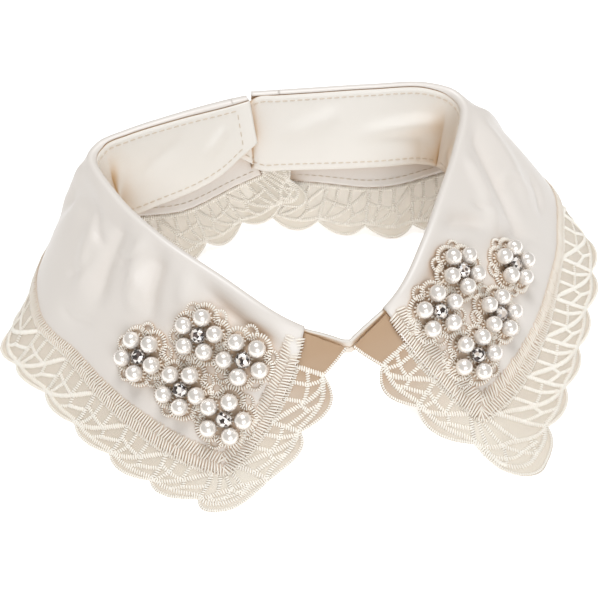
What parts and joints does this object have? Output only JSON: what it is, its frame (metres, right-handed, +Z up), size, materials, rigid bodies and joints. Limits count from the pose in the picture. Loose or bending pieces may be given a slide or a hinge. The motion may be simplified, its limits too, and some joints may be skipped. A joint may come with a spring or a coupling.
{
  "type": "embroidered false collar",
  "caption": "Detachable satin collar with scalloped lace borders, zigzag embroidery and pearl flowers, standing by itself, open at the centre back.",
  "frame": {"origin": "bottom centre of the bounding box, on the surface that the collar rests on", "axes": "+Z up, -Y towards the collar's front, +X to the right of someone facing the front"},
  "size_m": [0.2446, 0.1556, 0.0611],
  "materials": {
    "satin": "soft ivory satin, slightly wrinkled",
    "neckband_satin": "soft ivory satin with a topstitched edge",
    "lace": "sheer organza with corded cream embroidery",
    "embroidery_thread": "dense cream satin stitch",
    "pearl": "pearly plastic beads on a thread outline",
    "crystal": "foiled cut stone in a silver claw cup"
  },
  "bodies": {
    "root": {"neckband": "neckband_satin", "leaf_left": "satin", "lace_left": "lace", "stitch_band_left": "embroidery_thread", "flower_left_1": "pearl", "stone_left_1": "crystal", "flower_left_2": "pearl", "stone_left_2": "crystal", "flower_left_3": "pearl", "stone_left_3": "crystal", "flower_left_4": "pearl", "stone_left_4": "crystal", "flower_left_5": "pearl", "stone_left_5": "crystal", "leaf_right": "satin", "lace_right": "lace", "stitch_band_right": "embroidery_thread", "flower_right_1": "pearl", "stone_right_1": "crystal", "flower_right_2": "pearl", "stone_right_2": "crystal", "flower_right_3": "pearl", "stone_right_3": "crystal", "flower_right_4": "pearl", "stone_right_4": "crystal", "flower_right_5": "pearl", "stone_right_5": "crystal"}
  },
  "joints": []
}
